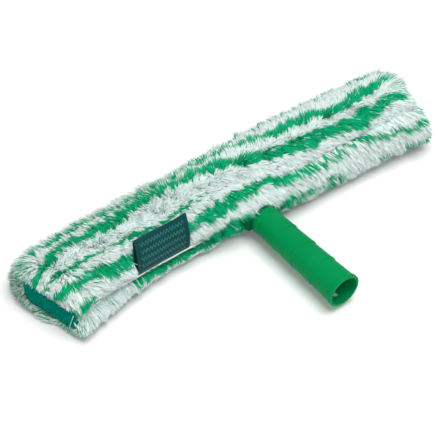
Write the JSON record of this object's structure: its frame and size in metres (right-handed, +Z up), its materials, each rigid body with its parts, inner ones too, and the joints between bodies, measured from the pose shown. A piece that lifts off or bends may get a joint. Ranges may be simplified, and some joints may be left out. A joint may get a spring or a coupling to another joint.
{
  "type": "window scrubber",
  "caption": "T-bar window scrubber: ribbed hollow handle on a flat crossbar inside a washable striped pile sleeve that wets and scrubs glass.",
  "frame": {"origin": "centre of the pole socket's mouth at the free end of the handle", "axes": "+Y from the mouth along the handle to the head, X along the head with +X to the right when the handle points at the viewer, +Z up from the broad side that the tool lies on"},
  "size_m": [0.4849, 0.2225, 0.0592],
  "materials": {
    "green_plastic": "satin moulded",
    "screw_steel": "plain",
    "pile_cloth": "long pile, striped",
    "backing_cloth": "woven",
    "closure_tape": "hook and loop",
    "binding_tape": "woven edge",
    "scrub_cloth": "abrasive felt",
    "label_cloth": "woven",
    "thread": "twisted thread"
  },
  "bodies": {
    "scrubber": {"crossbar": "green_plastic", "end_cap_left": "green_plastic", "end_cap_right": "green_plastic", "tee_saddle": "green_plastic", "handle": "green_plastic", "saddle_screws": "screw_steel", "pile_cover": "pile_cloth", "pile_bridge": "pile_cloth", "pile_end_left": "pile_cloth", "pile_end_right": "pile_cloth", "closure_lip_left": "pile_cloth", "closure_lip_right": "pile_cloth", "closure_tongue_left": "backing_cloth", "closure_tongue_right": "backing_cloth", "loop_tape_left": "closure_tape", "loop_tape_right": "closure_tape", "scrub_pad_left": "scrub_cloth", "scrub_pad_right": "scrub_cloth", "pad_stitching_left": "thread", "pad_stitching_right": "thread"},
    "flap_left": {"closure_flap_left": "pile_cloth", "hook_tape_left": "closure_tape", "flap_binding_left": "binding_tape"},
    "flap_right": {"closure_flap_right": "pile_cloth", "hook_tape_right": "closure_tape", "flap_binding_right": "binding_tape"},
    "label_loop": {"label": "label_cloth", "label_stitching": "thread"}
  },
  "joints": [
    {"name": "flap_left_fold", "type": "hinge", "parent": "scrubber", "child": "flap_left", "pos_m": [-0.122, 0.16025, 0.02383], "axis": [-1, 0, 0], "range_deg": [0, 100]},
    {"name": "flap_right_fold", "type": "hinge", "parent": "scrubber", "child": "flap_right", "pos_m": [0.122, 0.16025, 0.02383], "axis": [-1, 0, 0], "range_deg": [0, 100]},
    {"name": "label_flip", "type": "hinge", "parent": "flap_left", "child": "label_loop", "pos_m": [-0.109, 0.131, 0.003], "axis": [1, 0, 0], "range_deg": [0, 150]}
  ]
}
